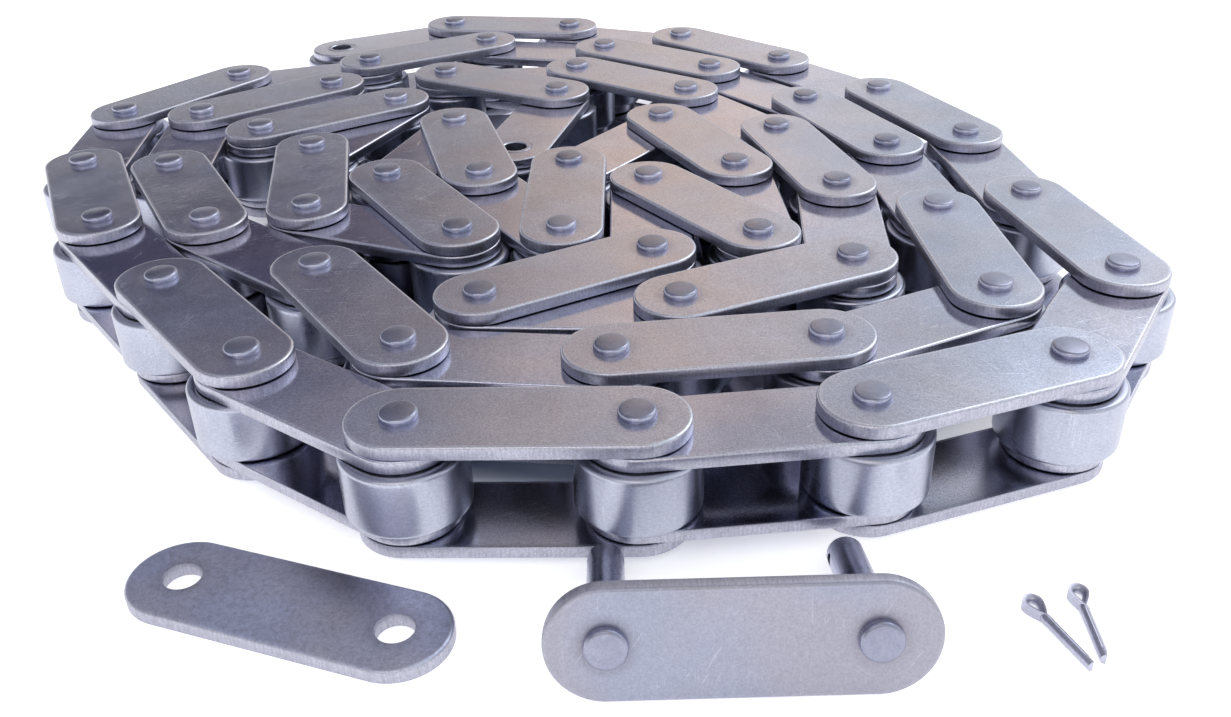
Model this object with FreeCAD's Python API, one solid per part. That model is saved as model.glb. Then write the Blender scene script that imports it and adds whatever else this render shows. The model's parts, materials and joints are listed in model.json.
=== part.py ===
import FreeCAD, Part
import math
import os

# Conveyor chain with large rollers, coiled flat on a floor, with its connecting link lying loose in front.
# Lengths are in millimetres and angles in degrees. The floor is z = 0, and every chain pin stands upright.
# The origin is on the floor, under the middle of the whole set.

# Chain sizes
PITCH = 50.8
INNER_WIDTH = 15.75
ROLLER_D = 28.58
ROLLER_ROUND = 1.0
PLATE_THICKNESS = 3.25
PLATE_HEIGHT = 23.8
PLATE_RIM = 0.8
PIN_D = 7.92
BUSH_WALL = 1.64
BUSH_PROUD = 0.15
BUSH_CHAMFER = 0.3

# Riveted pin ends
RIVET_PROUD = 1.7
RIVET_D = 8.6
RIVET_CHAMFER = 0.7

# Clearances: the first two are radial, the others are along the pins
PIN_PLAY = 0.05
ROLLER_PLAY = 0.07
ROLLER_SIDE_PLAY = 0.275
LINK_PLAY = 0.275

# Connecting link: plain pin ends, cross holes, slip-on cover plate
PLAIN_END = 6.7
PLAIN_CHAMFER = 0.6
CROSS_HOLE_D = 2.8
CROSS_HOLE_FROM_COVER = 2.0
COVER_PLAY = 0.1

# Cotter pins: half-round wire doubled back on itself
COTTER_WIRE_D = 2.4
COTTER_EYE_D = 5.4
COTTER_REACH = 18.5
COTTER_STEP = 2.0
COTTER_SLIT = 0.2

# Least room between neighbouring turns of the coil, and beside the open bore of the inner free end
ROLLER_GAP = 0.3
PLATE_GAP = 0.25
END_BORE_GAP = 0.5

# Which way each link of the coil points, from the outer free end to the inner free end
HEADINGS = [
    26, 347, 338, 318, 307, 291, 275, 281, 237, 199,
    185, 178, 144, 127, 130, 112, 96, 52, 18, 27,
    343, 325, 307, 291, 275, 272, 205, 185, 172, 122,
    141, 117, 96, 36, 253, 34, 247, 278, 337, 120,
    71, 284, 301, 88, 53, 294, 273, 126, 270, 207,
    354, 23, 85, 103, 123, 145, 183, 330, 254,
]

# The first links from the outer end are free to swing out, and the first rollers are pieces by themselves
FREE_LINKS = 10
LONE_ROLLERS = 28

# Loose pieces in front of the coil: sideways place from the coil's middle, turn, and gap to the coil
CONNECTING_X = 44.0
CONNECTING_GAP = 0.5
COVER_X = -47.4
COVER_TURN = -20.3
COVER_GAP = 6.0
COTTER_X = [107.9, 114.8]
COTTER_TURN = [-71.0, -93.4]
COTTER_GAP = [27.2, 28.0]

# Turns that come closer than these shares of the pitch lie against each other, rollers and plates
ROLLERS_TOUCH = 0.6
PLATES_TOUCH = 0.52

# The coil first closes up a little in each of some passes, then settles to this error or until the last pass
CLOSING_RATE = 0.1
CLOSING_PASSES = 100
SETTLE_ERROR = 0.0005
SETTLE_PASSES = 2000

# The loose pieces are moved towards the coil from this far in front of its first pin
FRONT_ROOM = 200.0

# Worked out from the sizes above
PIN_R = PIN_D / 2
BUSH_BORE_R = PIN_R + PIN_PLAY
BUSH_R = BUSH_BORE_R + BUSH_WALL
ROLLER_BORE_R = BUSH_R + ROLLER_PLAY
ROLLER_LENGTH = INNER_WIDTH - 2 * ROLLER_SIDE_PLAY
LOWER_OUTER_Z = RIVET_PROUD
LOWER_INNER_Z = LOWER_OUTER_Z + PLATE_THICKNESS + LINK_PLAY
ROLLER_Z = LOWER_INNER_Z + PLATE_THICKNESS + ROLLER_SIDE_PLAY
UPPER_INNER_Z = LOWER_INNER_Z + PLATE_THICKNESS + INNER_WIDTH
UPPER_OUTER_Z = UPPER_INNER_Z + PLATE_THICKNESS + LINK_PLAY
PIN_LENGTH = UPPER_OUTER_Z + PLATE_THICKNESS + RIVET_PROUD
BUSH_Z = LOWER_INNER_Z - BUSH_PROUD
BUSH_LENGTH = UPPER_INNER_Z + PLATE_THICKNESS + BUSH_PROUD - BUSH_Z

UP = FreeCAD.Vector(0, 0, 1)
BACK = FreeCAD.Vector(0, 1, 0)
RIGHT = FreeCAD.Vector(1, 0, 0)


# The coil's plan

def foot(p, a, b):
    """Where segment ab comes nearest to point p: 0 at a, 1 at b."""
    ux, uy = b[0] - a[0], b[1] - a[1]
    share = ((p[0] - a[0]) * ux + (p[1] - a[1]) * uy) / (ux * ux + uy * uy)
    return min(1.0, max(0.0, share))


def between(a, b, s):
    """Point of segment ab, 0 at a, 1 at b."""
    return a[0] + s * (b[0] - a[0]), a[1] + s * (b[1] - a[1])


def nearest(a, b, c, d):
    """Least distance of segments ab and cd, how far along each it lies, and the step from cd to ab."""
    found = []
    for s, t in ((0.0, foot(a, c, d)), (1.0, foot(b, c, d)), (foot(c, a, b), 0.0), (foot(d, a, b), 1.0)):
        p, q = between(a, b, s), between(c, d, t)
        found.append((math.dist(p, q), s, t, p[0] - q[0], p[1] - q[1]))
    return min(found)


def space_pins(a, b, wanted, rate=1.0):
    """Move two pins towards being this far apart; return how far off they were."""
    dx, dy = b[0] - a[0], b[1] - a[1]
    apart = math.hypot(dx, dy)
    share = rate * (wanted - apart) / apart / 2
    a[0] -= dx * share
    a[1] -= dy * share
    b[0] += dx * share
    b[1] += dy * share
    return abs(wanted - apart)


def space_links(a, b, c, d, wanted, rate=1.0):
    """Move links ab and cd towards being this far apart; return how far off they were."""
    apart, s, t, dx, dy = nearest(a, b, c, d)
    share = rate * (wanted - apart) / apart / ((1 - s) ** 2 + s ** 2 + (1 - t) ** 2 + t ** 2)
    for pin, weight in ((a, 1 - s), (b, s), (c, t - 1), (d, -t)):
        pin[0] += dx * share * weight
        pin[1] += dy * share * weight
    return abs(wanted - apart)


def close_pins(pins, reach):
    """Pairs of pins nearer than this that no link joins."""
    pairs = []
    for i, a in enumerate(pins):
        for b in pins[i + 2:]:
            if abs(a[0] - b[0]) < reach and abs(a[1] - b[1]) < reach and math.dist(a, b) < reach:
                pairs.append((a, b))
    return pairs


def close_links(pins, reach):
    """Pairs of links of the same kind nearer than this, each as its four pins."""
    far = 2 * (PITCH + reach)
    pairs = []
    for i in range(len(pins) - 1):
        a, b = pins[i], pins[i + 1]
        for j in range(i + 2, len(pins) - 1, 2):
            c, d = pins[j], pins[j + 1]
            if abs(a[0] + b[0] - c[0] - d[0]) > far or abs(a[1] + b[1] - c[1] - d[1]) > far:
                continue
            if nearest(a, b, c, d)[0] < reach:
                pairs.append((a, b, c, d))
    return pairs


def free_bore(pins, room):
    """Push outer links off the open bore at the inner free end; return the largest push."""
    end = pins[-1]
    worst = 0.0
    for a, b in zip(pins[1::2], pins[2::2]):
        s = foot(end, a, b)
        near = between(a, b, s)
        apart = math.dist(near, end)
        if apart < room:
            share = (room - apart) / apart / (1 + (1 - s) ** 2 + s ** 2)
            dx, dy = end[0] - near[0], end[1] - near[1]
            for pin, weight in ((end, 1), (a, s - 1), (b, -s)):
                pin[0] += dx * share * weight
                pin[1] += dy * share * weight
            worst = max(worst, room - apart)
    return worst


def coil_plan():
    """Pin places of the coil, middle at zero, settled until every pitch is right and no turns touch."""
    pins = [[0.0, 0.0]]
    for heading in HEADINGS:
        turn = math.radians(heading)
        x, y = pins[-1]
        pins.append([x + PITCH * math.cos(turn), y + PITCH * math.sin(turn)])
    pin_room = ROLLER_D + ROLLER_GAP
    link_room = PLATE_HEIGHT + PLATE_GAP
    bore_room = PLATE_HEIGHT / 2 + PIN_R + END_BORE_GAP
    touching_pins = close_pins(pins, ROLLERS_TOUCH * PITCH)
    touching_links = close_links(pins, PLATES_TOUCH * PITCH)
    for number in range(SETTLE_PASSES):
        if number < CLOSING_PASSES:
            for a, b in touching_pins:
                space_pins(a, b, pin_room, CLOSING_RATE)
            for a, b, c, d in touching_links:
                space_links(a, b, c, d, link_room, CLOSING_RATE)
        errors = [space_pins(a, b, PITCH) for a, b in zip(pins, pins[1:])]
        errors += [space_pins(a, b, pin_room) for a, b in close_pins(pins, pin_room)]
        errors += [space_links(a, b, c, d, link_room) for a, b, c, d in close_links(pins, link_room)]
        errors.append(free_bore(pins, bore_room))
        if number >= CLOSING_PASSES and max(errors) < SETTLE_ERROR:
            break
    xs = [x for x, _ in pins]
    ys = [y for _, y in pins]
    mid_x = (min(xs) + max(xs)) / 2
    mid_y = (min(ys) + max(ys)) / 2
    return [(x - mid_x, y - mid_y) for x, y in pins]


def clearance(pins, a, b, radius):
    """Room in plan between a round-ended strip along ab and the coil's plates and rollers."""
    plates = min(nearest(a, b, c, d)[0] for c, d in zip(pins, pins[1:])) - PLATE_HEIGHT / 2
    rollers = min(math.dist(c, between(a, b, foot(c, a, b))) for c in pins) - ROLLER_D / 2
    return min(plates, rollers) - radius


def stand_off(pins, strips, gap):
    """How far to move strips towards the coil, from well in front of it, until the nearest has this gap."""
    low = min(y for _, y in pins) - FRONT_ROOM
    high = 0.0
    while high - low > SETTLE_ERROR:
        middle = (low + high) / 2
        moved = [((a[0], a[1] + middle), (b[0], b[1] + middle), r) for a, b, r in strips]
        if min(clearance(pins, a, b, r) for a, b, r in moved) > gap:
            low = middle
        else:
            high = middle
    return low


# Chain pieces, each made once around its own pin or link middle

def plate(hole_r):
    """Link plate along X with its rounded rim upwards, lower face at z = 0."""
    half, r = PITCH / 2, PLATE_HEIGHT / 2
    front = Part.LineSegment(FreeCAD.Vector(-half, -r, 0), FreeCAD.Vector(half, -r, 0))
    right = Part.Arc(
        FreeCAD.Vector(half, -r, 0), FreeCAD.Vector(half + r, 0, 0), FreeCAD.Vector(half, r, 0))
    back = Part.LineSegment(FreeCAD.Vector(half, r, 0), FreeCAD.Vector(-half, r, 0))
    left = Part.Arc(
        FreeCAD.Vector(-half, r, 0), FreeCAD.Vector(-half - r, 0, 0), FreeCAD.Vector(-half, -r, 0))
    outline = Part.Wire([edge.toShape() for edge in (front, right, back, left)])
    body = Part.Face(outline).extrude(UP * PLATE_THICKNESS)
    rim = [edge for edge in body.Edges if edge.BoundBox.ZMin > PLATE_THICKNESS / 2]
    body = body.makeFillet(PLATE_RIM, rim)
    holes = [Part.makeCylinder(hole_r, PLATE_THICKNESS, FreeCAD.Vector(x, 0, 0)) for x in (-half, half)]
    return body.cut(holes).Solids[0]


def turned(points):
    """Solid of revolution about Z of a closed outline, given as (radius, height) points."""
    outline = Part.makePolygon([FreeCAD.Vector(r, 0, z) for r, z in points + points[:1]])
    return Part.Face(outline).revolve(FreeCAD.Vector(), UP, 360)


def riveted_pin():
    """Chain pin with a riveted head on both ends."""
    head = RIVET_D / 2
    return turned([
        (0, 0), (head - RIVET_CHAMFER, 0), (head, RIVET_CHAMFER), (head, RIVET_PROUD),
        (PIN_R, RIVET_PROUD), (PIN_R, PIN_LENGTH - RIVET_PROUD), (head, PIN_LENGTH - RIVET_PROUD),
        (head, PIN_LENGTH - RIVET_CHAMFER), (head - RIVET_CHAMFER, PIN_LENGTH), (0, PIN_LENGTH),
    ])


def bush():
    """Bush that carries a roller, a little longer than the inner link is wide."""
    edge, top = BUSH_CHAMFER, BUSH_LENGTH
    return turned([
        (BUSH_BORE_R + edge, 0), (BUSH_R, 0), (BUSH_R, top), (BUSH_BORE_R + edge, top),
        (BUSH_BORE_R, top - edge), (BUSH_BORE_R, edge),
    ])


def roller():
    """Large plain roller with rounded outer edges."""
    body = Part.makeCylinder(ROLLER_D / 2, ROLLER_LENGTH)
    rims = [edge for edge in body.Edges if edge.Closed]
    body = body.makeFillet(ROLLER_ROUND, rims)
    return body.cut(Part.makeCylinder(ROLLER_BORE_R, ROLLER_LENGTH)).Solids[0]


# Connecting link pieces

def long_pin_length():
    """Length of a connecting pin behind its riveted plate."""
    return 2 * LINK_PLAY + INNER_WIDTH + 3 * PLATE_THICKNESS + PLAIN_END


def connecting_pin():
    """Connecting pin, head upwards at z > 0, plain end down, with a cross hole along X for a cotter."""
    head, tip = RIVET_D / 2, -long_pin_length()
    top = PLATE_THICKNESS + RIVET_PROUD
    body = turned([
        (0, tip), (PIN_R - PLAIN_CHAMFER, tip), (PIN_R, tip + PLAIN_CHAMFER), (PIN_R, PLATE_THICKNESS),
        (head, PLATE_THICKNESS), (head, top - RIVET_CHAMFER), (head - RIVET_CHAMFER, top), (0, top),
    ])
    hole_z = tip + PLAIN_END - CROSS_HOLE_FROM_COVER - CROSS_HOLE_D / 2
    hole = Part.makeCylinder(CROSS_HOLE_D / 2, 2 * PIN_D, FreeCAD.Vector(-PIN_D, 0, hole_z), RIGHT)
    return body.cut(hole).Solids[0]


def cotter_leg(length):
    """Half-round wire along X, its flat side just clear of y = 0."""
    r = COTTER_WIRE_D / 2
    rod = Part.makeCylinder(r, length, FreeCAD.Vector(0, 0, r), RIGHT)
    return rod.common(Part.makeBox(length, r, COTTER_WIRE_D, FreeCAD.Vector(0, COTTER_SLIT / 2, 0)))


def cotter_pin():
    """Cotter pin lying flat along X: eye centred on the origin, one leg longer than the other."""
    r = COTTER_WIRE_D / 2
    ring_r = COTTER_EYE_D / 2 - r
    disc = Part.Face(Part.Wire(Part.makeCircle(r, FreeCAD.Vector(ring_r, 0, r), BACK)))
    eye = disc.revolve(FreeCAD.Vector(), UP, 360)
    legs = [cotter_leg(COTTER_REACH), cotter_leg(COTTER_REACH - COTTER_STEP).mirror(FreeCAD.Vector(), BACK)]
    hollow = Part.makeCylinder(ring_r, COTTER_WIRE_D)
    return eye.fuse(legs).cut(hollow).removeSplitter().Solids[0]


# Placing

def put(shape, x, y, z=0.0, heading=0.0, flipped=False):
    """Copy of a shape turned about Z and moved, after being turned upside down if asked."""
    place = FreeCAD.Placement(FreeCAD.Vector(x, y, z), FreeCAD.Rotation(UP, heading))
    if flipped:
        place = place.multiply(FreeCAD.Placement(FreeCAD.Vector(), FreeCAD.Rotation(RIGHT, 180)))
    copy = shape.copy()
    copy.Placement = place
    return copy


def link_place(pins, first):
    """Middle and heading of the link from pin number first to the next."""
    a, b = pins[first], pins[first + 1]
    heading = math.degrees(math.atan2(b[1] - a[1], b[0] - a[0]))
    return (a[0] + b[0]) / 2, (a[1] + b[1]) / 2, heading


def plate_pair(shape, pins, first, lower_z, upper_z):
    """Lower and upper plate of one link, rounded rims outwards."""
    x, y, heading = link_place(pins, first)
    lower = put(shape, x, y, lower_z + PLATE_THICKNESS, heading, flipped=True)
    upper = put(shape, x, y, upper_z, heading)
    return lower, upper


def chain_nodes(pins):
    """Every piece of the chain, by node name."""
    inner_plate, outer_plate = plate(BUSH_R), plate(PIN_R)
    pin, tube, wheel = riveted_pin(), bush(), roller()
    nodes = {}
    coil = {name: [] for name in (
        "coil_inner_plates_lower", "coil_inner_plates_upper", "coil_bushes",
        "coil_outer_plates_lower", "coil_outer_plates_upper", "coil_pins", "coil_rollers")}
    for first in range(len(pins) - 1):
        inner = first % 2 == 0
        kind = "inner" if inner else "outer"
        if inner:
            lower, upper = plate_pair(inner_plate, pins, first, LOWER_INNER_Z, UPPER_INNER_Z)
            rods = [put(tube, x, y, BUSH_Z) for x, y in pins[first:first + 2]]
            rod_name = "bushes"
        else:
            lower, upper = plate_pair(outer_plate, pins, first, LOWER_OUTER_Z, UPPER_OUTER_Z)
            rods = [put(pin, x, y) for x, y in pins[first:first + 2]]
            rod_name = "pins"
        if first < FREE_LINKS:
            name = "%s_link_%02d" % (kind, first // 2 + 1)
            nodes[name + "_plates"] = [lower, upper]
            nodes["%s_%s" % (name, rod_name)] = rods
        else:
            coil["coil_%s_plates_lower" % kind].append(lower)
            coil["coil_%s_plates_upper" % kind].append(upper)
            coil["coil_" + rod_name].extend(rods)
    for number, (x, y) in enumerate(pins):
        rolling = put(wheel, x, y, ROLLER_Z)
        if number < LONE_ROLLERS:
            nodes["roller_%02d" % (number + 1)] = [rolling]
        else:
            coil["coil_rollers"].append(rolling)
    nodes.update(coil)
    return nodes


def connecting_nodes(pins):
    """Connecting plate with its two pins, leaning back with the plain pin ends on the floor."""
    reach = long_pin_length() - PLAIN_CHAMFER
    lean = math.degrees(math.atan2(PLATE_HEIGHT / 2 - PIN_R, reach))
    up = PLATE_HEIGHT / 2 * math.cos(math.radians(lean))
    tip_back = long_pin_length() * math.cos(math.radians(lean)) + PIN_R * math.sin(math.radians(lean))
    strips = []
    for side in (-PITCH / 2, PITCH / 2):
        x = CONNECTING_X + side
        strips.append(((x, 0.0), (x, tip_back - PIN_R), PIN_R))
    y = stand_off(pins, strips, CONNECTING_GAP)
    place = FreeCAD.Placement(
        FreeCAD.Vector(CONNECTING_X, y, up), FreeCAD.Rotation(RIGHT, 90 - lean))
    face = plate(PIN_R)
    face.Placement = place
    rods = []
    for side in (-PITCH / 2, PITCH / 2):
        rod = connecting_pin()
        rod.Placement = place.multiply(FreeCAD.Placement(FreeCAD.Vector(side, 0, 0), FreeCAD.Rotation()))
        rods.append(rod)
    return {"connecting_plate": [face], "connecting_pins": rods}


def cover_node(pins):
    """Slip-on cover plate, flat on the floor with its rounded rim up."""
    turn = math.radians(COVER_TURN)
    dx, dy = PITCH / 2 * math.cos(turn), PITCH / 2 * math.sin(turn)
    strip = ((COVER_X - dx, -dy), (COVER_X + dx, dy), PLATE_HEIGHT / 2)
    y = stand_off(pins, [strip], COVER_GAP)
    return {"cover_plate": [put(plate(PIN_R + COVER_PLAY), COVER_X, y, 0, COVER_TURN)]}


def cotter_nodes(pins):
    """The two cotter pins, lying flat side by side."""
    nodes = {}
    shape = cotter_pin()
    for number in (0, 1):
        turn = math.radians(COTTER_TURN[number])
        dx, dy = COTTER_REACH / 2 * math.cos(turn), COTTER_REACH / 2 * math.sin(turn)
        x = COTTER_X[number]
        strip = ((x - dx, -dy), (x + dx, dy), COTTER_WIRE_D / 2)
        y = stand_off(pins, [strip], COTTER_GAP[number])
        nodes["cotter_pin_%d" % (number + 1)] = [put(shape, x - dx, y - dy, 0, COTTER_TURN[number])]
    return nodes


def build():
    """All nodes, with the origin on the floor under the middle of the set; also the pin places."""
    pins = coil_plan()
    nodes = chain_nodes(pins)
    nodes.update(connecting_nodes(pins))
    nodes.update(cover_node(pins))
    nodes.update(cotter_nodes(pins))
    box = FreeCAD.BoundBox()
    for shapes in nodes.values():
        for shape in shapes:
            box.add(shape.optimalBoundingBox(False, False))
    shift = FreeCAD.Vector(-box.Center.x, -box.Center.y, 0)
    for shapes in nodes.values():
        for shape in shapes:
            shape.translate(shift)
    return nodes, [(x + shift.x, y + shift.y) for x, y in pins]


def main():
    nodes, _ = build()
    os.makedirs("parts", exist_ok=True)
    for name, shapes in nodes.items():
        whole = shapes[0] if len(shapes) == 1 else Part.makeCompound(shapes)
        whole.exportStep("parts/%s.step" % name)


main()
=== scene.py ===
import json
import math
import random

import bmesh
import bpy
from mathutils import Matrix, Vector


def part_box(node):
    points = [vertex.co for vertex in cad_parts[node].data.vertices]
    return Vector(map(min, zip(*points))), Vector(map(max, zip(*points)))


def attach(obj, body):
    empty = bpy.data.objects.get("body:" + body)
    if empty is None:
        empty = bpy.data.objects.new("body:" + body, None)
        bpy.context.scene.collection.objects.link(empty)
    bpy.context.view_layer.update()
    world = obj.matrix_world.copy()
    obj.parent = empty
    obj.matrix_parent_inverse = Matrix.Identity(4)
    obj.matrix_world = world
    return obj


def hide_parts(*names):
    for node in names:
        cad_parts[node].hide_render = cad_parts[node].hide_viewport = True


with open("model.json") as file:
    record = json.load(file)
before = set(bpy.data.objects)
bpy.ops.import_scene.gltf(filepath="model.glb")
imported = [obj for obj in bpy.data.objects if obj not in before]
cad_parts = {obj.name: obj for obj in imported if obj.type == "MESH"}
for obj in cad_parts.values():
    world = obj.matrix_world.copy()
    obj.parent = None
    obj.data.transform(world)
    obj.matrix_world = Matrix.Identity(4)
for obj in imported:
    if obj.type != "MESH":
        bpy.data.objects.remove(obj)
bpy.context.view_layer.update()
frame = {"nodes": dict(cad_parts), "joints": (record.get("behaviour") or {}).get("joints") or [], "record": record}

# Sizes that the CAD has too, in metres
MM = 0.001
PITCH = 50.8 * MM
PLATE_R = 11.9 * MM
PLATE_T = 3.25 * MM
LOOSE_PLATE_RIM = 0.8 * MM
PIN_R = 3.96 * MM
PIN_LENGTH = 32.7 * MM
HEAD_R = 4.3 * MM
HEAD_H = 1.7 * MM
BUSH_BORE_R = 4.01 * MM
BUSH_R = 5.65 * MM
BUSH_LENGTH = 22.55 * MM
BUSH_Z = 5.075 * MM
ROLLER_R = 14.29 * MM
ROLLER_BORE_R = 5.72 * MM
ROLLER_LENGTH = 15.2 * MM
ROLLER_Z = 8.75 * MM
OUTER_PLATES_Z = (1.7 * MM, 27.75 * MM)
INNER_PLATES_Z = (5.225 * MM, 24.225 * MM)
LONG_PIN = 32.75 * MM
TIP_EDGE = 0.6 * MM
CROSS_HOLE_R = 1.4 * MM
CROSS_HOLE_FROM_TIP = 3.3 * MM
COVER_HOLE_R = 4.06 * MM
WIRE_R = 1.2 * MM
COTTER_LEGS = (18.5 * MM, 16.5 * MM)
COTTER_HEADINGS = (-71.0, -93.4)

# Edges and finer forms that are set here, as the photograph shows them. The slit is measured on each side.
PLATE_RIM = 0.65 * MM
PLATE_LOWER_EDGE = 0.25 * MM
FACE_INSET = 0.2 * MM
HOLE_EDGE = 0.22 * MM
HEAD_TOP_DISH = 0.04 * MM
EYE_R = 3.2 * MM
COTTER_SLIT = 0.2 * MM
COTTER_NECK = 4.2 * MM

ROLLER_PLACES = 60
LONE_ROLLERS = 28
FREE_LINKS = 10

# Points nearer than this are one point
TOUCH = MM / 1000

# How finely round shapes are divided
PLATE_STEPS = 72
HEAD_STEPS = 40
ROLLER_STEPS = 72
SMOOTH_ANGLE = math.radians(38)

# The photograph's camera: place, tilt down from level, roll, lens
CAMERA_AT = (0.02186, -0.35092, 0.17049)
CAMERA_TILT = math.radians(30.648)
CAMERA_ROLL = math.radians(-1.581)
CAMERA_LENS = 35.10

chance = random.Random(8)


# Modelling helpers

def deselect():
    bpy.ops.object.select_all(action="DESELECT")


def choose(piece):
    """Select this piece alone, and make it the active one."""
    deselect()
    piece.select_set(True)
    bpy.context.view_layer.objects.active = piece


def begin_edit(piece):
    choose(piece)
    bpy.ops.object.mode_set(mode="EDIT")


def end_edit():
    bpy.ops.object.mode_set(mode="OBJECT")


def pick(piece, kind, test):
    """In edit mode, select the vertices, edges or faces that pass the test, and nothing else."""
    bpy.ops.mesh.select_mode(type=kind)
    bpy.ops.mesh.select_all(action="DESELECT")
    mesh = bmesh.from_edit_mesh(piece.data)
    items = {"VERT": mesh.verts, "EDGE": mesh.edges, "FACE": mesh.faces}[kind]
    for item in items:
        if test(item):
            item.select_set(True)
    bmesh.update_edit_mesh(piece.data)


def cut(piece, cutter):
    """Cut one shape out of a piece, and delete the cutter."""
    modifier = piece.modifiers.new("cut", "BOOLEAN")
    modifier.operation = "DIFFERENCE"
    modifier.object = cutter
    choose(piece)
    bpy.ops.object.modifier_apply(modifier=modifier.name)
    bpy.data.objects.remove(cutter)


def smooth(piece):
    choose(piece)
    bpy.ops.object.shade_smooth_by_angle(angle=SMOOTH_ANGLE)


def rod(radius, depth, steps, place, turn=(0.0, 0.0, 0.0)):
    """Plain cylinder, used as a cutter or as the start of a piece."""
    deselect()
    bpy.ops.mesh.primitive_cylinder_add(
        vertices=steps, radius=radius, depth=depth, end_fill_type="NGON", location=place, rotation=turn)
    bpy.ops.object.transform_apply(location=True, rotation=True, scale=True)
    return bpy.context.object


def lathe(name, profile, steps):
    """Piece turned about Z from a row of (radius, height) points, drawn out from one point."""
    deselect()
    bpy.ops.mesh.primitive_plane_add(size=MM)
    piece = bpy.context.object
    piece.name = name
    bpy.ops.object.mode_set(mode="EDIT")
    bpy.ops.mesh.select_mode(type="VERT")
    bpy.ops.mesh.select_all(action="SELECT")
    bpy.ops.mesh.merge(type="CENTER")
    bpy.ops.transform.translate(value=(profile[0][0], 0, profile[0][1]))
    for a, b in zip(profile, profile[1:]):
        step = (b[0] - a[0], 0, b[1] - a[1])
        bpy.ops.mesh.extrude_region_move(TRANSFORM_OT_translate={"value": step})
    bpy.ops.mesh.select_all(action="SELECT")
    bpy.ops.mesh.spin(steps=steps, angle=math.tau, center=(0, 0, 0), axis=(0, 0, 1))
    bpy.ops.mesh.select_all(action="SELECT")
    bpy.ops.mesh.remove_doubles(threshold=TOUCH)
    bpy.ops.mesh.normals_make_consistent(inside=False)
    end_edit()
    smooth(piece)
    return piece


def rounded(corner, radius, start, steps=4):
    """Quarter round of a profile: points about a centre, from a start angle in degrees, turning left."""
    points = []
    for number in range(steps + 1):
        angle = math.radians(start + 90 * number / steps)
        points.append((corner[0] + radius * math.cos(angle), corner[1] + radius * math.sin(angle)))
    return points


# Maps: top and bottom faces hold plan coordinates, walls hold (way round, height + WALL_SHIFT).
# The shift lets the materials tell walls from faces.

WALL_SHIFT = 0.1


def map_plate(piece):
    """Surface map of a plate, in metres."""
    layer = piece.data.uv_layers.new(name="surface")
    half = PITCH / 2
    for face in piece.data.polygons:
        flat = abs(face.normal.z) > 0.5
        for loop in face.loop_indices:
            x, y, z = piece.data.vertices[piece.data.loops[loop].vertex_index].co
            if flat:
                layer.data[loop].uv = (x, y)
            elif abs(x) <= half:
                layer.data[loop].uv = (x, z + WALL_SHIFT)
            else:
                side = math.copysign(1, x)
                round_way = math.atan2(abs(x) - half, abs(y)) * PLATE_R
                layer.data[loop].uv = (side * (half + round_way), z + WALL_SHIFT)


def map_turned(piece):
    """Surface map of a turned piece, in metres."""
    layer = piece.data.uv_layers.new(name="surface")
    for face in piece.data.polygons:
        flat = abs(face.normal.z) > 0.5
        middle = math.atan2(face.center.y, face.center.x)
        for loop in face.loop_indices:
            x, y, z = piece.data.vertices[piece.data.loops[loop].vertex_index].co
            if flat:
                layer.data[loop].uv = (x, y)
            else:
                angle = math.atan2(y, x)
                angle += math.tau * round((middle - angle) / math.tau)
                layer.data[loop].uv = (angle * math.hypot(x, y), z + WALL_SHIFT)


# The shapes, each modelled once

def model_plate(name, hole_r, rim):
    """Punched link plate along X, lower face at z = 0, rolled-over rim on top, small edge below."""
    half_step = (0.0, 0.0, math.pi / PLATE_STEPS)
    plate = rod(PLATE_R, PLATE_T, PLATE_STEPS, (0, 0, PLATE_T / 2), half_step)
    plate.name = name
    begin_edit(plate)
    for side in (-1, 1):
        pick(plate, "VERT", lambda v: v.co.x * side > 0)
        bpy.ops.transform.translate(value=(side * PITCH / 2, 0, 0))
    top = PLATE_T - MM / 100
    pick(plate, "EDGE", lambda e: all(v.co.z > top for v in e.verts))
    bpy.ops.mesh.bevel(offset=rim, segments=5, profile=0.5, affect="EDGES")
    pick(plate, "EDGE", lambda e: all(v.co.z < MM / 100 for v in e.verts))
    bpy.ops.mesh.bevel(offset=PLATE_LOWER_EDGE, segments=2, profile=0.5, affect="EDGES")
    pick(plate, "FACE", lambda f: abs(f.normal.z) > 0.99)
    bpy.ops.mesh.inset(thickness=FACE_INSET)
    end_edit()
    for x in (-PITCH / 2, PITCH / 2):
        cut(plate, rod(hole_r, 3 * PLATE_T, HEAD_STEPS, (x, 0, PLATE_T / 2)))

    def on_hole_rim(edge):
        return all(
            abs(math.hypot(abs(v.co.x) - PITCH / 2, v.co.y) - hole_r) < MM / 20 for v in edge.verts
        ) and abs(edge.verts[0].co.z - edge.verts[1].co.z) < MM / 100

    begin_edit(plate)
    pick(plate, "EDGE", on_hole_rim)
    bpy.ops.mesh.bevel(offset=HOLE_EDGE, segments=2, profile=0.5, affect="EDGES")
    end_edit()
    smooth(plate)
    for face in plate.data.polygons:
        if abs(face.normal.z) > 0.999:
            face.use_smooth = False
    map_plate(plate)
    return plate


def head_profile(base, direction):
    """Riveted head from its foot at the plate outwards: waist, swelled side, sloping edge, flat top."""
    slopes = (
        (0.12, 0.0), (0.0, 0.4), (0.02, 0.85), (0.09, 1.2), (0.24, 1.46), (0.5, 1.63), (0.85, HEAD_H / MM))
    points = [(HEAD_R - inward * MM, base + direction * up * MM) for inward, up in slopes]
    points.append((0.0, base + direction * (HEAD_H - HEAD_TOP_DISH)))
    return points


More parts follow.
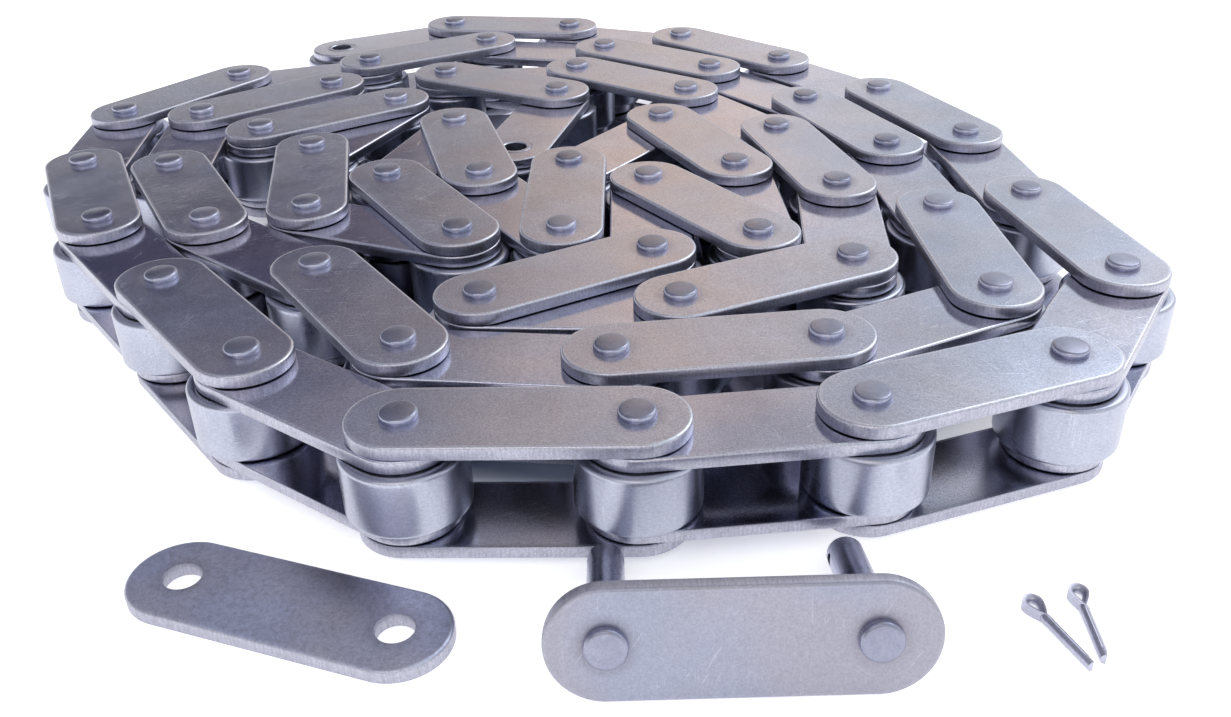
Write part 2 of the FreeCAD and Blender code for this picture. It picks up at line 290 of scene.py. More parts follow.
def model_pin():
    """Riveted pin, standing on z = 0."""
    lower = head_profile(HEAD_H, -1)
    upper = head_profile(PIN_LENGTH - HEAD_H, 1)
    profile = lower[::-1] + [(PIN_R, HEAD_H), (PIN_R, PIN_LENGTH - HEAD_H)] + upper
    pin = lathe("pin_shape", profile, HEAD_STEPS)
    map_turned(pin)
    return pin


def model_connecting_pin():
    """Connecting pin: the plate's lower face is z = 0, the head is above and the plain end below, with
    the cross hole along X."""
    tip = -LONG_PIN
    profile = [(0.0, tip), (PIN_R - TIP_EDGE - 0.1 * MM, tip)]
    profile += rounded((PIN_R - TIP_EDGE, tip + TIP_EDGE), TIP_EDGE, -90)
    profile += [(PIN_R, -MM), (PIN_R, PLATE_T)]
    profile += head_profile(PLATE_T, 1)
    pin = lathe("connecting_pin_shape", profile, HEAD_STEPS)
    hole_at = (0, 0, tip + CROSS_HOLE_FROM_TIP)
    cut(pin, rod(CROSS_HOLE_R, 4 * PIN_R, 24, hole_at, (0, math.pi / 2, 0)))
    smooth(pin)
    map_turned(pin)
    return pin


def model_bush():
    """Bush standing on z = 0."""
    edge = 0.3 * MM
    wall = [(BUSH_BORE_R, edge), (BUSH_BORE_R + edge, 0.0), (BUSH_R - 0.1 * MM, 0.0), (BUSH_R, 0.1 * MM)]
    wall += [(r, BUSH_LENGTH - z) for r, z in reversed(wall)]
    wall.append(wall[0])
    bush = lathe("bush_shape", wall, HEAD_STEPS)
    map_turned(bush)
    return bush


def model_roller():
    """Large roller standing on z = 0, with rounded outer edges and a shallow turned face."""
    edge = 1.0 * MM
    dish = 0.12 * MM
    half = [(ROLLER_BORE_R, 0.5 * MM), (ROLLER_BORE_R + 0.35 * MM, dish)]
    half += [(ROLLER_R - edge - 1.6 * MM, dish), (ROLLER_R - edge - 1.3 * MM, 0.0)]
    half += rounded((ROLLER_R - edge, edge), edge, -90)
    half.append((ROLLER_R, 1.6 * MM))
    profile = half + [(r, ROLLER_LENGTH - z) for r, z in reversed(half)]
    profile.append(profile[0])
    roller = lathe("roller_shape", profile, ROLLER_STEPS)
    map_turned(roller)
    return roller


def model_cotter():
    """Cotter pin lying along X: half-round wire round an eye at the origin, one leg longer."""
    bpy.ops.curve.primitive_bezier_curve_add()
    path = bpy.context.object
    path.name = "cotter_shape"
    path.data.splines.clear()
    inner = EYE_R - WIRE_R
    straight = COTTER_NECK + 2 * MM
    line = path.data.splines.new("BEZIER")
    line.resolution_u = 8
    knots = [
        (COTTER_LEGS[0], COTTER_SLIT, 3), (straight, COTTER_SLIT, 1), (COTTER_NECK, 0.35 * MM, 0.7),
        (0.15 * MM, inner, 1.2), (-inner, 0.0, 1.1), (0.15 * MM, -inner, 1.2),
        (COTTER_NECK, -0.35 * MM, 0.7), (straight, -COTTER_SLIT, 1), (COTTER_LEGS[1], -COTTER_SLIT, 3),
    ]
    ways = [(-1, 0), (-1, 0), (-0.8, 0.6), (-1, 0), (0, -1), (1, 0), (0.8, 0.6), (1, 0), (1, 0)]
    line.bezier_points.add(len(knots) - 1)
    for point, (x, y, reach), (along_x, along_y) in zip(line.bezier_points, knots, ways):
        point.co = (x, y, WIRE_R)
        arm = Vector((along_x, along_y, 0)) * reach * MM
        point.handle_left = point.co - arm
        point.handle_right = point.co + arm
    path.data.dimensions = "2D"
    path.data.fill_mode = "NONE"
    bpy.ops.curve.primitive_bezier_circle_add(radius=WIRE_R)
    section = bpy.context.object
    section.data.splines.clear()
    outline = section.data.splines.new("POLY")
    outline.points.add(12)
    outline.use_cyclic_u = True
    for number, point in enumerate(outline.points):
        angle = math.radians(-90 + 180 * number / 12)
        point.co = (-WIRE_R * math.cos(angle), WIRE_R * math.sin(angle), 0, 1)
    path.data.bevel_mode = "OBJECT"
    path.data.bevel_object = section
    path.data.use_fill_caps = True
    choose(path)
    bpy.ops.object.convert(target="MESH")
    cotter = bpy.context.object
    bpy.ops.object.transform_apply(location=True, rotation=True, scale=True)
    cotter.data.transform(Matrix.Translation((0, 0, WIRE_R)))
    bpy.data.objects.remove(section)
    begin_edit(cotter)
    bpy.ops.mesh.select_all(action="SELECT")
    bpy.ops.mesh.remove_doubles(threshold=TOUCH)
    bpy.ops.mesh.normals_make_consistent(inside=False)
    end_edit()
    smooth(cotter)
    for layer in list(cotter.data.uv_layers):
        cotter.data.uv_layers.remove(layer)
    map_turned(cotter)
    return cotter


# Where the pieces go, read from the frame

def middle_of(points):
    low = Vector(map(min, zip(*points)))
    high = Vector(map(max, zip(*points)))
    return (low + high) / 2


def islands(node):
    """The vertex places of each separate solid in a CAD node."""
    mesh = bmesh.new()
    mesh.from_mesh(frame["nodes"][node].data)
    bmesh.ops.remove_doubles(mesh, verts=mesh.verts, dist=TOUCH)
    found = []
    seen = set()
    for start in mesh.verts:
        if start in seen:
            continue
        seen.add(start)
        group = [start]
        for vert in group:
            for edge in vert.link_edges:
                other = edge.other_vert(vert)
                if other not in seen:
                    seen.add(other)
                    group.append(other)
        found.append([tuple(vert.co) for vert in group])
    mesh.free()
    return found


def chain_pins():
    """Plan places of all the chain's pins, in order from the outer free end."""
    joints = {joint["name"]: joint for joint in frame["joints"]}
    pins = []
    for number in range(1, LONE_ROLLERS + 1):
        x, y, _ = joints["roller_%02d_spin" % number]["pos_m"]
        pins.append(Vector((x, y)))
    rest = [middle_of(points).xy for points in islands("coil_rollers")]
    while rest:
        last = pins[-1]
        following = min(rest, key=lambda p: abs((p - last).length - PITCH))
        rest.remove(following)
        pins.append(following)
    if len(pins) != ROLLER_PLACES:
        raise ValueError("the coil has %d roller places" % len(pins))
    return pins


def upright(x, y, z, heading=0.0, flipped=False):
    """Place of a piece that stands or lies in the coil, turned upside down if asked."""
    place = Matrix.Translation((x, y, z)) @ Matrix.Rotation(heading, 4, "Z")
    if flipped:
        place = place @ Matrix.Rotation(math.pi, 4, "X")
    return place


def assemble(node, body, material, shape, places):
    """Copies of a shape at these places, joined to one piece that stands for a CAD node."""
    copies = []
    for place in places:
        copy = bpy.data.objects.new(node + "_steel", shape.data.copy())
        bpy.context.scene.collection.objects.link(copy)
        copy.data.transform(place)
        tone = copy.data.attributes.new("piece_tone", "FLOAT", "POINT")
        value = chance.random()
        tone.data.foreach_set("value", [value] * len(copy.data.vertices))
        copies.append(copy)
    deselect()
    for copy in copies:
        copy.select_set(True)
    bpy.context.view_layer.objects.active = copies[0]
    if len(copies) > 1:
        bpy.ops.object.join()
    piece = bpy.context.view_layer.objects.active
    piece.name = node + "_steel"
    piece.data.materials.clear()
    piece.data.materials.append(material)
    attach(piece, body)
    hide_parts(node)
    return piece


# Materials

def socket(group, name, kind, way, value=None):
    item = group.interface.new_socket(name=name, in_out=way, socket_type=kind)
    if value is not None:
        item.default_value = value
    return item


class Net:
    """A node tree with short ways to add and link nodes."""

    def __init__(self, tree):
        self.tree = tree

    def add(self, kind, inputs=None, **settings):
        node = self.tree.nodes.new(kind)
        for key, value in settings.items():
            setattr(node, key, value)
        for key, value in (inputs or {}).items():
            if isinstance(value, bpy.types.NodeSocket):
                self.tree.links.new(value, node.inputs[key])
            else:
                node.inputs[key].default_value = value
        return node

    def math(self, operation, a, b=0.0, clamp=False):
        return self.add("ShaderNodeMath", {0: a, 1: b}, operation=operation, use_clamp=clamp).outputs[0]

    def ramp(self, value, low, high, to_low=0.0, to_high=1.0):
        """Value mapped from low..high to to_low..to_high, held at the ends."""
        node = self.add("ShaderNodeMapRange", {
            "Value": value, "From Min": low, "From Max": high, "To Min": to_low, "To Max": to_high})
        return node.outputs["Result"]

    def noise(self, vector, scale, detail=3.0, roughness=0.55):
        node = self.add("ShaderNodeTexNoise", {
            "Vector": vector, "Scale": scale, "Detail": detail, "Roughness": roughness})
        return node.outputs["Fac"]

    def mix(self, factor, a, b, blend="MIX"):
        """Colour between a and b. The Mix node keeps its two colours at inputs 6 and 7."""
        node = self.add("ShaderNodeMix", {"Factor": factor, 6: a, 7: b}, data_type="RGBA", blend_type=blend)
        return node.outputs[2]


def build_mottle():
    """Group: soft clouds and fine grain of tumbled steel, different on each piece."""
    group = bpy.data.node_groups.new("tumbled_mottle", "ShaderNodeTree")
    socket(group, "Place", "NodeSocketVector", "INPUT")
    socket(group, "Tone", "NodeSocketFloat", "INPUT", 0.5)
    socket(group, "Cloud Scale", "NodeSocketFloat", "INPUT", 60.0)
    socket(group, "Grain Scale", "NodeSocketFloat", "INPUT", 2200.0)
    socket(group, "Cloud", "NodeSocketFloat", "OUTPUT")
    socket(group, "Grain", "NodeSocketFloat", "OUTPUT")
    net = Net(group)
    given = net.add("NodeGroupInput").outputs
    shift = net.add("ShaderNodeCombineXYZ", {0: given["Tone"], 1: given["Tone"], 2: given["Tone"]})
    moved = net.add("ShaderNodeVectorMath", {0: given["Place"], 1: shift.outputs[0]}, operation="ADD")
    cloud = net.noise(moved.outputs[0], given["Cloud Scale"], 4.0, 0.6)
    grain = net.noise(moved.outputs[0], given["Grain Scale"], 2.0, 0.6)
    net.add("NodeGroupOutput", {"Cloud": cloud, "Grain": grain})
    return group


def build_scratches():
    """Group: thin scuffs that run in two directions, broken up in patches."""
    group = bpy.data.node_groups.new("scuff_lines", "ShaderNodeTree")
    socket(group, "Place", "NodeSocketVector", "INPUT")
    socket(group, "Tone", "NodeSocketFloat", "INPUT", 0.5)
    socket(group, "Lines", "NodeSocketFloat", "OUTPUT")
    net = Net(group)
    given = net.add("NodeGroupInput").outputs
    turn = net.math("MULTIPLY", given["Tone"], math.tau)
    masks = []
    for offset, scale in ((0.0, (90.0, 2600.0, 90.0)), (1.1, (140.0, 3400.0, 140.0))):
        angle = net.math("ADD", turn, offset)
        spin = net.add("ShaderNodeCombineXYZ", {2: angle})
        turned = net.add("ShaderNodeVectorRotate", {"Vector": given["Place"], "Rotation": spin.outputs[0]},
                         rotation_type="EULER_XYZ")
        stretched = net.add("ShaderNodeVectorMath", {0: turned.outputs[0], 1: scale}, operation="MULTIPLY")
        fine = net.noise(stretched.outputs[0], 1.0, 1.0, 0.5)
        masks.append(net.ramp(fine, 0.66, 0.74))
    patch = net.ramp(net.noise(given["Place"], 150.0, 2.0), 0.48, 0.62)
    both = net.math("MAXIMUM", masks[0], masks[1])
    net.add("NodeGroupOutput", {"Lines": net.math("MULTIPLY", both, patch)})
    return group


def build_plate_zones():
    """Group: from a plate's surface map, how near a point is to a pin, the rim and the wall."""
    group = bpy.data.node_groups.new("plate_zones", "ShaderNodeTree")
    socket(group, "Map", "NodeSocketVector", "INPUT")
    for name in ("Pin Ring", "Rim", "Wall"):
        socket(group, name, "NodeSocketFloat", "OUTPUT")
    net = Net(group)
    given = net.add("NodeGroupInput").outputs
    parts = net.add("ShaderNodeSeparateXYZ", {0: given["Map"]})
    beyond = net.math("SUBTRACT", net.math("ABSOLUTE", parts.outputs[0]), PITCH / 2)
    to_pin = net.add("ShaderNodeCombineXYZ", {0: beyond, 1: parts.outputs[1]})
    pin_way = net.add("ShaderNodeVectorMath", {0: to_pin.outputs[0]}, operation="LENGTH").outputs["Value"]
    past = net.math("MAXIMUM", beyond, 0.0)
    to_line = net.add("ShaderNodeCombineXYZ", {0: past, 1: parts.outputs[1]})
    line_way = net.add("ShaderNodeVectorMath", {0: to_line.outputs[0]}, operation="LENGTH").outputs["Value"]
    wall = net.math("GREATER_THAN", parts.outputs[1], WALL_SHIFT / 2)
    flat = net.math("SUBTRACT", 1.0, wall)
    ring = net.math("MULTIPLY", net.ramp(pin_way, 7.0 * MM, 4.5 * MM), flat)
    rim = net.math("MULTIPLY", net.ramp(line_way, PLATE_R - 1.2 * MM, PLATE_R - 0.55 * MM), flat)
    net.add("NodeGroupOutput", {"Pin Ring": ring, "Rim": rim, "Wall": wall})
    return group


# Colours that the steels share
STAIN = (0.20, 0.18, 0.22, 1)
SPECK = (0.14, 0.12, 0.19, 1)
# Painted highlight: the light colour laid on the plates' rounded rims
RIM_HIGHLIGHT = (0.70, 0.71, 0.79, 1)
SCUFF = (0.78, 0.79, 0.86, 1)
WALL_DARK = (0.40, 0.40, 0.48, 1)
WALL_LIGHT = (0.51, 0.51, 0.60, 1)
TURNED_LINE = (0.28, 0.28, 0.34, 1)
WARM = (1.03, 0.99, 0.96, 1)
COOL = (0.97, 1.0, 1.04, 1)

MOTTLE = build_mottle()
SCRATCHES = build_scratches()
PLATE_ZONES = build_plate_zones()


def begin_metal(name):
    """Material with a metallic Principled shader, and the inputs that all the steels share."""
    material = bpy.data.materials.new(name)
    material.use_nodes = True
    net = Net(material.node_tree)
    shader = material.node_tree.nodes["Principled BSDF"]
    shader.inputs["Metallic"].default_value = 1.0
    place = net.add("ShaderNodeTexCoord").outputs["Object"]
    tone = net.add("ShaderNodeAttribute", attribute_name="piece_tone").outputs["Fac"]
    mapped = net.add("ShaderNodeUVMap", uv_map="surface").outputs["UV"]
    return material, net, shader, place, tone, mapped


def use_group(net, group, inputs):
    return net.add("ShaderNodeGroup", inputs, node_tree=group).outputs


def finish_metal(net, shader, colour, roughness, height, strength):
    net.tree.links.new(colour, shader.inputs["Base Color"])
    net.tree.links.new(roughness, shader.inputs["Roughness"])
    bump = net.add("ShaderNodeBump", {"Height": height, "Strength": strength, "Distance": 0.025 * MM})
    net.tree.links.new(bump.outputs["Normal"], shader.inputs["Normal"])


def plate_steel(name, low, high, roughness, rim, wear=1.0, specks=0.1):
    """Punched and tumbled plate: satin faces with faint specks, stained round the pins, a painted highlight along
    the rounded rim as strong as the share given, streaked walls. Less wear gives fainter scuffs and less grain."""
    material, net, shader, place, tone, mapped = begin_metal(name)
    mottle = use_group(net, MOTTLE, {"Place": place, "Tone": tone})
    scuffs = use_group(net, SCRATCHES, {"Place": place, "Tone": tone})
    zones = use_group(net, PLATE_ZONES, {"Map": mapped})
    clouded = net.ramp(mottle["Cloud"], 0.25, 0.75)
    colour = net.mix(clouded, low, high)
    patches = net.noise(place, 38.0, 2.0, 0.5)
    tint = net.mix(net.ramp(patches, 0.38, 0.62), WARM, COOL)
    colour = net.mix(1.0, colour, tint, "MULTIPLY")
    stain = net.math("MULTIPLY", zones["Pin Ring"], net.ramp(mottle["Cloud"], 0.35, 0.6, 0.10, 0.45))
    colour = net.mix(stain, colour, STAIN)
    specked = net.ramp(net.noise(place, 850.0, 4.0, 0.7), 0.46, 0.66, 0.0, specks)
    colour = net.mix(specked, colour, SPECK)
    # Painted highlight: the rounded rim is painted lighter, by the share given
    colour = net.mix(net.math("MULTIPLY", zones["Rim"], rim), colour, RIM_HIGHLIGHT)
    colour = net.mix(net.math("MULTIPLY", scuffs["Lines"], 0.35 * wear), colour, SCUFF)
    streak_place = net.add("ShaderNodeVectorMath", {0: mapped, 1: (2400.0, 260.0, 1.0)}, operation="MULTIPLY")
    streak = net.noise(streak_place.outputs[0], 1.0, 3.0)
    wall_colour = net.mix(net.ramp(streak, 0.35, 0.65), WALL_DARK, WALL_LIGHT)
    colour = net.mix(zones["Wall"], colour, wall_colour)
    speckle = net.ramp(mottle["Grain"], 0.3, 0.7, 1.0 - 0.20 * wear, 1.0 + 0.18 * wear)
    colour = net.mix(1.0, colour, speckle, "MULTIPLY")
    rough = net.ramp(mottle["Cloud"], 0.3, 0.7, roughness - 0.015, roughness + 0.025)
    rough = net.math("ADD", rough, net.math("MULTIPLY", zones["Pin Ring"], 0.08))
    rough = net.math("ADD", rough, net.math("MULTIPLY", zones["Wall"], 0.18))
    rough = net.math("ADD", rough, net.math("MULTIPLY", zones["Rim"], 0.08))
    height = net.math("ADD", mottle["Grain"], net.math("MULTIPLY", scuffs["Lines"], 1.2))
    height = net.math("ADD", height, net.math("MULTIPLY", net.math("MULTIPLY", streak, zones["Wall"]), 0.4))
    finish_metal(net, shader, colour, rough, height, 0.35 * wear)
    return material


def turned_steel(name, low, high, roughness, rings, streaks, wall_gain=1.0):
    """Turned piece: fine rings on its faces and fine lines round its wall, which may be lighter."""
    material, net, shader, place, tone, mapped = begin_metal(name)
    mottle = use_group(net, MOTTLE, {"Place": place, "Tone": tone})
    scuffs = use_group(net, SCRATCHES, {"Place": place, "Tone": tone})
    parts = net.add("ShaderNodeSeparateXYZ", {0: mapped})
    wall = net.math("GREATER_THAN", parts.outputs[1], WALL_SHIFT / 2)
    radius = net.add("ShaderNodeVectorMath", {0: mapped}, operation="LENGTH").outputs["Value"]
    ring_place = net.add("ShaderNodeCombineXYZ", {0: net.math("MULTIPLY", radius, rings), 1: tone})
    ring = net.noise(ring_place.outputs[0], 1.0, 3.0)
    line_place = net.add("ShaderNodeVectorMath", {0: mapped, 1: streaks}, operation="MULTIPLY")
    shifted = net.add("ShaderNodeVectorMath", {0: line_place.outputs[0], 1: place}, operation="ADD")
    line = net.noise(shifted.outputs[0], 1.0, 3.0)
    marks = net.add("ShaderNodeMix", {0: wall, 2: ring, 3: line}).outputs[0]
    colour = net.mix(net.ramp(mottle["Cloud"], 0.3, 0.7), low, high)
    colour = net.mix(net.ramp(marks, 0.35, 0.7, 0.0, 0.35), colour, TURNED_LINE)
    colour = net.mix(net.math("MULTIPLY", scuffs["Lines"], 0.3), colour, SCUFF)
    speckle = net.ramp(mottle["Grain"], 0.3, 0.7, 0.90, 1.08)
    gain = net.math("ADD", 1.0, net.math("MULTIPLY", wall, wall_gain - 1.0))
    colour = net.mix(1.0, colour, net.math("MULTIPLY", speckle, gain), "MULTIPLY")
    rough = net.ramp(mottle["Cloud"], 0.3, 0.7, roughness - 0.05, roughness + 0.07)
    height = net.math("ADD", net.math("MULTIPLY", marks, 1.5), mottle["Grain"])
    finish_metal(net, shader, colour, rough, height, 0.3)
    return material


OUTER_STEEL = plate_steel("outer_plate_steel", (0.47, 0.48, 0.57, 1), (0.58, 0.59, 0.69, 1), 0.22, 0.5)
INNER_STEEL = plate_steel("inner_plate_steel", (0.50, 0.50, 0.60, 1), (0.64, 0.64, 0.75, 1), 0.12, 0.4)
CONNECTING_STEEL = plate_steel(
    "connecting_plate_steel", (0.32, 0.33, 0.40, 1), (0.36, 0.365, 0.45, 1), 0.34, 0.1, 0.5)
COVER_STEEL = plate_steel(
    "cover_plate_steel", (0.49, 0.51, 0.64, 1), (0.60, 0.62, 0.76, 1), 0.31, 0.1, 0.7, 0.28)
PIN_STEEL = turned_steel(
    "pin_steel", (0.19, 0.20, 0.28, 1), (0.40, 0.41, 0.52, 1), 0.27, 3000.0, (300.0, 5000.0, 1.0), 1.5)
BUSH_STEEL = turned_steel(
    "bush_steel", (0.46, 0.47, 0.56, 1), (0.58, 0.59, 0.69, 1), 0.26, 2600.0, (200.0, 4000.0, 1.0))
ROLLER_STEEL = turned_steel(
    "roller_steel", (0.45, 0.47, 0.57, 1), (0.57, 0.59, 0.70, 1), 0.29, 1800.0, (900.0, 2200.0, 1.0))
WIRE_STEEL = turned_steel(
    "cotter_wire_steel", (0.46, 0.46, 0.57, 1), (0.62, 0.63, 0.74, 1), 0.40, 2600.0, (300.0, 4000.0, 1.0))


# The chain

INNER_PLATE = model_plate("inner_plate_shape", BUSH_R, PLATE_RIM)
OUTER_PLATE = model_plate("outer_plate_shape", PIN_R, PLATE_RIM)
PIN = model_pin()
BUSH = model_bush()
ROLLER = model_roller()


def link_place(first, pins, z, flipped):
    a, b = pins[first], pins[first + 1]
    heading = math.atan2(b.y - a.y, b.x - a.x)
    middle = (a + b) / 2
    return upright(middle.x, middle.y, z + (PLATE_T if flipped else 0.0), heading, flipped)


def link_parts(first, pins):
    """Lower plate, upper plate and the two rods of one link, as (shape, places) rows."""
    inner = first % 2 == 0
    heights = INNER_PLATES_Z if inner else OUTER_PLATES_Z
    lower = link_place(first, pins, heights[0], True)
    upper = link_place(first, pins, heights[1], False)
    rod_z = BUSH_Z if inner else 0.0
    rods = []
    for pin in pins[first:first + 2]:
        rods.append(upright(pin.x, pin.y, rod_z, chance.uniform(0, math.tau)))
    return lower, upper, rods


def build_chain(pins):
    coil = {key: [] for key in (
        "inner_plates_lower", "inner_plates_upper", "bushes", "outer_plates_lower",
        "outer_plates_upper", "pins")}
    for first in range(ROLLER_PLACES - 1):
        kind = "outer" if first % 2 else "inner"
        rod_key = "pins" if first % 2 else "bushes"
        plate = OUTER_PLATE if first % 2 else INNER_PLATE
        metal = OUTER_STEEL if first % 2 else INNER_STEEL
        lower, upper, rods = link_parts(first, pins)
        if first < FREE_LINKS:
            body = "%s_link_%02d" % (kind, first // 2 + 1)
            assemble(body + "_plates", body, metal, plate, [lower, upper])
            shape, steel = (PIN, PIN_STEEL) if first % 2 else (BUSH, BUSH_STEEL)
            assemble("%s_%s" % (body, rod_key), body, steel, shape, rods)
        else:
            coil[kind + "_plates_lower"].append(lower)
            coil[kind + "_plates_upper"].append(upper)
            coil[rod_key].extend(rods)
    for key, shape, metal, slot in (
            ("inner_plates_lower", INNER_PLATE, INNER_STEEL, "link_plates"),
            ("inner_plates_upper", INNER_PLATE, INNER_STEEL, "link_plates"),
            ("outer_plates_lower", OUTER_PLATE, OUTER_STEEL, "link_plates"),
            ("outer_plates_upper", OUTER_PLATE, OUTER_STEEL, "link_plates"),
            ("bushes", BUSH, BUSH_STEEL, "bushes"),
            ("pins", PIN, PIN_STEEL, "pins")):
        assemble("coil_" + key, "coil", metal, shape, coil[key])
    held = []
    for number, pin in enumerate(pins):
        place = upright(pin.x, pin.y, ROLLER_Z, chance.uniform(0, math.tau))
        if number < LONE_ROLLERS:
            name = "roller_%02d" % (number + 1)
            assemble(name, name, ROLLER_STEEL, ROLLER, [place])
        else:
            held.append(place)
    assemble("coil_rollers", "coil", ROLLER_STEEL, ROLLER, held)


def build_connecting_link():
    """Connecting plate and its pins, leaning back with the plain pin ends on the floor."""
    low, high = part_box("connecting_plate")
    lean = math.atan2(PLATE_R - PIN_R, LONG_PIN - TIP_EDGE)
    up = PLATE_R * math.cos(lean)
    middle_x = (low.x + high.x) / 2
    pins_low, pins_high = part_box("connecting_pins")
    tip_back = max(
        LONG_PIN * math.cos(lean) + (PIN_R - TIP_EDGE) * math.sin(lean),
        (LONG_PIN - TIP_EDGE) * math.cos(lean) + PIN_R * math.sin(lean))
    y = pins_high.y - tip_back
    place = Matrix.Translation((middle_x, y, up)) @ Matrix.Rotation(math.pi / 2 - lean, 4, "X")
    plate = model_plate("connecting_plate_shape", PIN_R, LOOSE_PLATE_RIM)
    assemble("connecting_plate", "connecting_link", CONNECTING_STEEL, plate, [place])
    rods = [place @ Matrix.Translation((side * PITCH / 2, 0, 0)) for side in (-1, 1)]
    pin = model_connecting_pin()
    assemble("connecting_pins", "connecting_link", PIN_STEEL, pin, rods)
    return [plate, pin]


def build_cover_plate():
    """Slip-on cover plate, flat on the floor."""
    mounts = {mount["name"]: mount for mount in frame["record"]["mounts"]}
    a = Vector(mounts["cover_plate_hole_1"]["pos_m"])
    b = Vector(mounts["cover_plate_hole_2"]["pos_m"])
    middle = (a + b) / 2
    heading = math.atan2(b.y - a.y, b.x - a.x)
    plate = model_plate("cover_plate_shape", COVER_HOLE_R, LOOSE_PLATE_RIM)
    assemble("cover_plate", "cover_plate", COVER_STEEL, plate,
             [upright(middle.x, middle.y, 0.0, heading)])
    return [plate]


def build_cotters():
    """The two cotter pins, each with its eye at the end of the CAD solid that its heading leaves."""
    shape = model_cotter()
    for number, turn in enumerate(COTTER_HEADINGS, start=1):
        name = "cotter_pin_%d" % number
        heading = math.radians(turn)
        low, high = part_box(name)
        way = Vector((math.cos(heading), math.sin(heading), 0))
        points = [v.co.copy() for v in frame["nodes"][name].data.vertices]
        eye_end = min(point.dot(way) for point in points)
        across = Vector((-way.y, way.x, 0))
        sides = [point.dot(across) for point in points]
        middle = (min(sides) + max(sides)) / 2
        eye = way * (eye_end + EYE_R) + across * middle
        assemble(name, name, WIRE_STEEL, shape, [upright(eye.x, eye.y, 0.0, heading)])
    return [shape]


PINS = chain_pins()
build_chain(PINS)
spare = [INNER_PLATE, OUTER_PLATE, PIN, BUSH, ROLLER]
spare += build_connecting_link()
spare += build_cover_plate()
spare += build_cotters()
for shape in spare:
    bpy.data.objects.remove(shape)


# Floor, light and camera

# Painted shade: the floor under the coil is painted bluish and given no glow, out to about four fifths of this
# reach from its middle
SHADED_MIDDLE = (0.02, 0.0, 0.0)
SHADED_REACH = (0.167, 0.191, 1.0)
FLOOR_GLOW = 0.5


def build_floor():
    """White floor with painted shade under the coil: bluish there, and without the glow. It keeps the shadow."""
    deselect()
    bpy.ops.mesh.primitive_grid_add(x_subdivisions=8, y_subdivisions=8, size=12.0)
    floor = bpy.context.object
    floor.name = "floor"
    material = bpy.data.materials.new("floor_paper_and_painted_shade")
    material.use_nodes = True
    net = Net(material.node_tree)
    shader = material.node_tree.nodes["Principled BSDF"]
    shader.inputs["Roughness"].default_value = 0.9
    shader.inputs["Specular IOR Level"].default_value = 0.1
    place = net.add("ShaderNodeTexCoord").outputs["Object"]
    moved = net.add("ShaderNodeVectorMath", {0: place, 1: SHADED_MIDDLE}, operation="SUBTRACT")
    spread = net.add("ShaderNodeVectorMath", {0: moved.outputs[0], 1: SHADED_REACH}, operation="DIVIDE")
    way = net.add("ShaderNodeVectorMath", {0: spread.outputs[0]}, operation="LENGTH").outputs["Value"]
    # Painted shade: under the coil the floor is painted bluish and its glow fades out
    open_floor = net.ramp(way, 0.62, 0.82)
    paper_and_painted_shade = net.mix(open_floor, (0.62, 0.72, 0.92, 1), (0.95, 0.95, 0.95, 1))
    net.tree.links.new(paper_and_painted_shade, shader.inputs["Base Color"])
    glow = net.math("MULTIPLY", seen_rays(net), FLOOR_GLOW)
    shader.inputs["Emission Color"].default_value = (1, 1, 1, 1)
    # Painted shade: no glow where the coil stands
    net.tree.links.new(net.math("MULTIPLY", glow, open_floor), shader.inputs["Emission Strength"])
    floor.data.materials.append(material)


def seen_rays(net):
    """1 for rays of the camera, reflections and transmission, 0 for the rest."""
    rays = net.add("ShaderNodeLightPath").outputs
    seen = net.math("MAXIMUM", rays["Is Camera Ray"], rays["Is Glossy Ray"])
    return net.math("MAXIMUM", seen, rays["Is Transmission Ray"])


# What the steel reflects, from the left (0) to the right (1): (place, red, green, blue)
BAND = ((0.38, 1.0, 1.0, 0.97), (0.48, 0.73, 0.70, 0.70), (0.60, 1.0, 1.0, 1.0))
STUDIO_WALLS = (
    (0.0, 0.35, 0.34, 0.40), (0.29, 0.07, 0.07, 0.12), (0.385, 0.11, 0.10, 0.15), (0.42, 0.26, 0.23, 0.25),
    (0.445, 0.41, 0.37, 0.36), (0.48, 0.77, 0.64, 0.55), (0.515, 0.94, 0.76, 0.63), (0.54, 1.0, 0.79, 0.64),
    (0.58, 0.94, 0.90, 0.88), (0.63, 0.68, 0.72, 0.75), (0.66, 0.80, 0.87, 0.92), (0.70, 0.92, 0.96, 1.0),
    (1.0, 1.0, 1.0, 1.0))
OVERHEAD = (
    (0.36, 0.38, 0.39, 0.46), (0.44, 0.48, 0.46, 0.48), (0.50, 0.76, 0.69, 0.66), (0.56, 0.47, 0.45, 0.46),
    (0.68, 0.84, 0.90, 0.95))


def colour_bar(net, value, stops):
    """Colour read from a row of stops."""
    node = net.add("ShaderNodeValToRGB", {0: value})
    bar = node.color_ramp
    bar.elements[0].position = stops[0][0]
    bar.elements[-1].position = stops[-1][0]
    for place, *_ in stops[1:-1]:
        bar.elements.new(place)
    for element, (_, red, green, blue) in zip(bar.elements, stops):
        element.color = (red, green, blue, 1)
    return node.outputs[0]


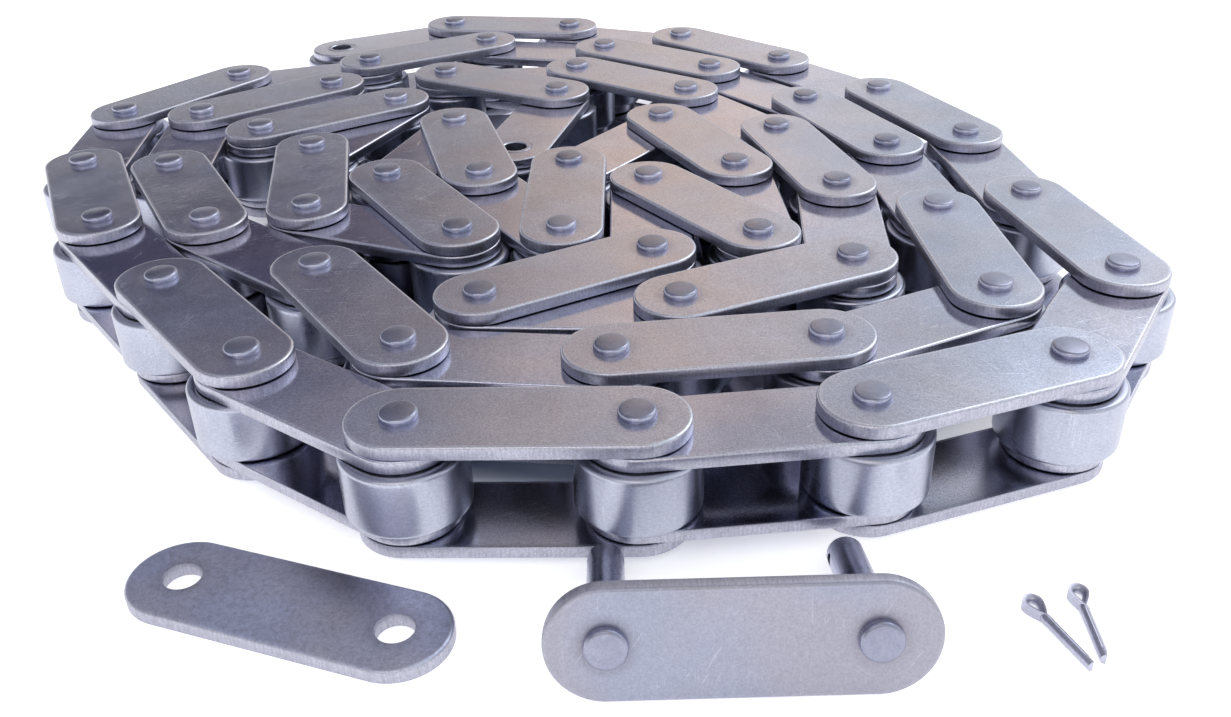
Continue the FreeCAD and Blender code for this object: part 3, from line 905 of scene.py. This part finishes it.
def build_world():
    """Studio walls: a white band near the floor, and further up dark at the left, bright at the right."""
    world = bpy.data.worlds.new("studio")
    bpy.context.scene.world = world
    world.use_nodes = True
    net = Net(world.node_tree)
    way = net.add("ShaderNodeTexCoord").outputs["Generated"]
    parts = net.add("ShaderNodeSeparateXYZ", {0: way})
    across = net.ramp(parts.outputs[0], -1.0, 1.0)
    above_band = net.ramp(parts.outputs[2], 0.255, 0.305)
    overhead = net.ramp(parts.outputs[2], 0.46, 0.56)
    picture = net.mix(above_band, colour_bar(net, across, BAND), colour_bar(net, across, STUDIO_WALLS))
    picture = net.mix(overhead, picture, colour_bar(net, across, OVERHEAD))
    seen = seen_rays(net)
    back = world.node_tree.nodes["Background"]
    net.tree.links.new(net.mix(seen, (0.86, 0.87, 0.90, 1), picture), back.inputs["Color"])


def add_lamp(name, place, target, size, power, colour):
    data = bpy.data.lights.new(name, "AREA")
    data.shape = "DISK"
    data.size = size
    data.energy = power
    data.color = colour
    lamp = bpy.data.objects.new(name, data)
    bpy.context.scene.collection.objects.link(lamp)
    lamp.location = place
    lamp.rotation_euler = (Vector(target) - Vector(place)).to_track_quat("-Z", "Y").to_euler()


def build_camera():
    data = bpy.data.cameras.new("photo_camera")
    data.lens = CAMERA_LENS
    data.sensor_width = 36.0
    data.sensor_fit = "HORIZONTAL"
    data.clip_start = 0.01
    camera = bpy.data.objects.new("photo_camera", data)
    bpy.context.scene.collection.objects.link(camera)
    camera.matrix_world = (
        Matrix.Translation(CAMERA_AT)
        @ Matrix.Rotation(math.pi / 2 - CAMERA_TILT, 4, "X")
        @ Matrix.Rotation(CAMERA_ROLL, 4, "Z"))
    bpy.context.scene.camera = camera


build_floor()
build_world()
add_lamp("window", (1.1, 0.9, 1.3), (0, 0, 0), 1.2, 6.0, (0.95, 0.98, 1.0))
add_lamp("front_fill", (-0.4, -1.3, 1.1), (0, 0, 0), 1.4, 4.0, (1.0, 0.98, 0.96))
build_camera()
bpy.context.scene.view_settings.view_transform = "Standard"
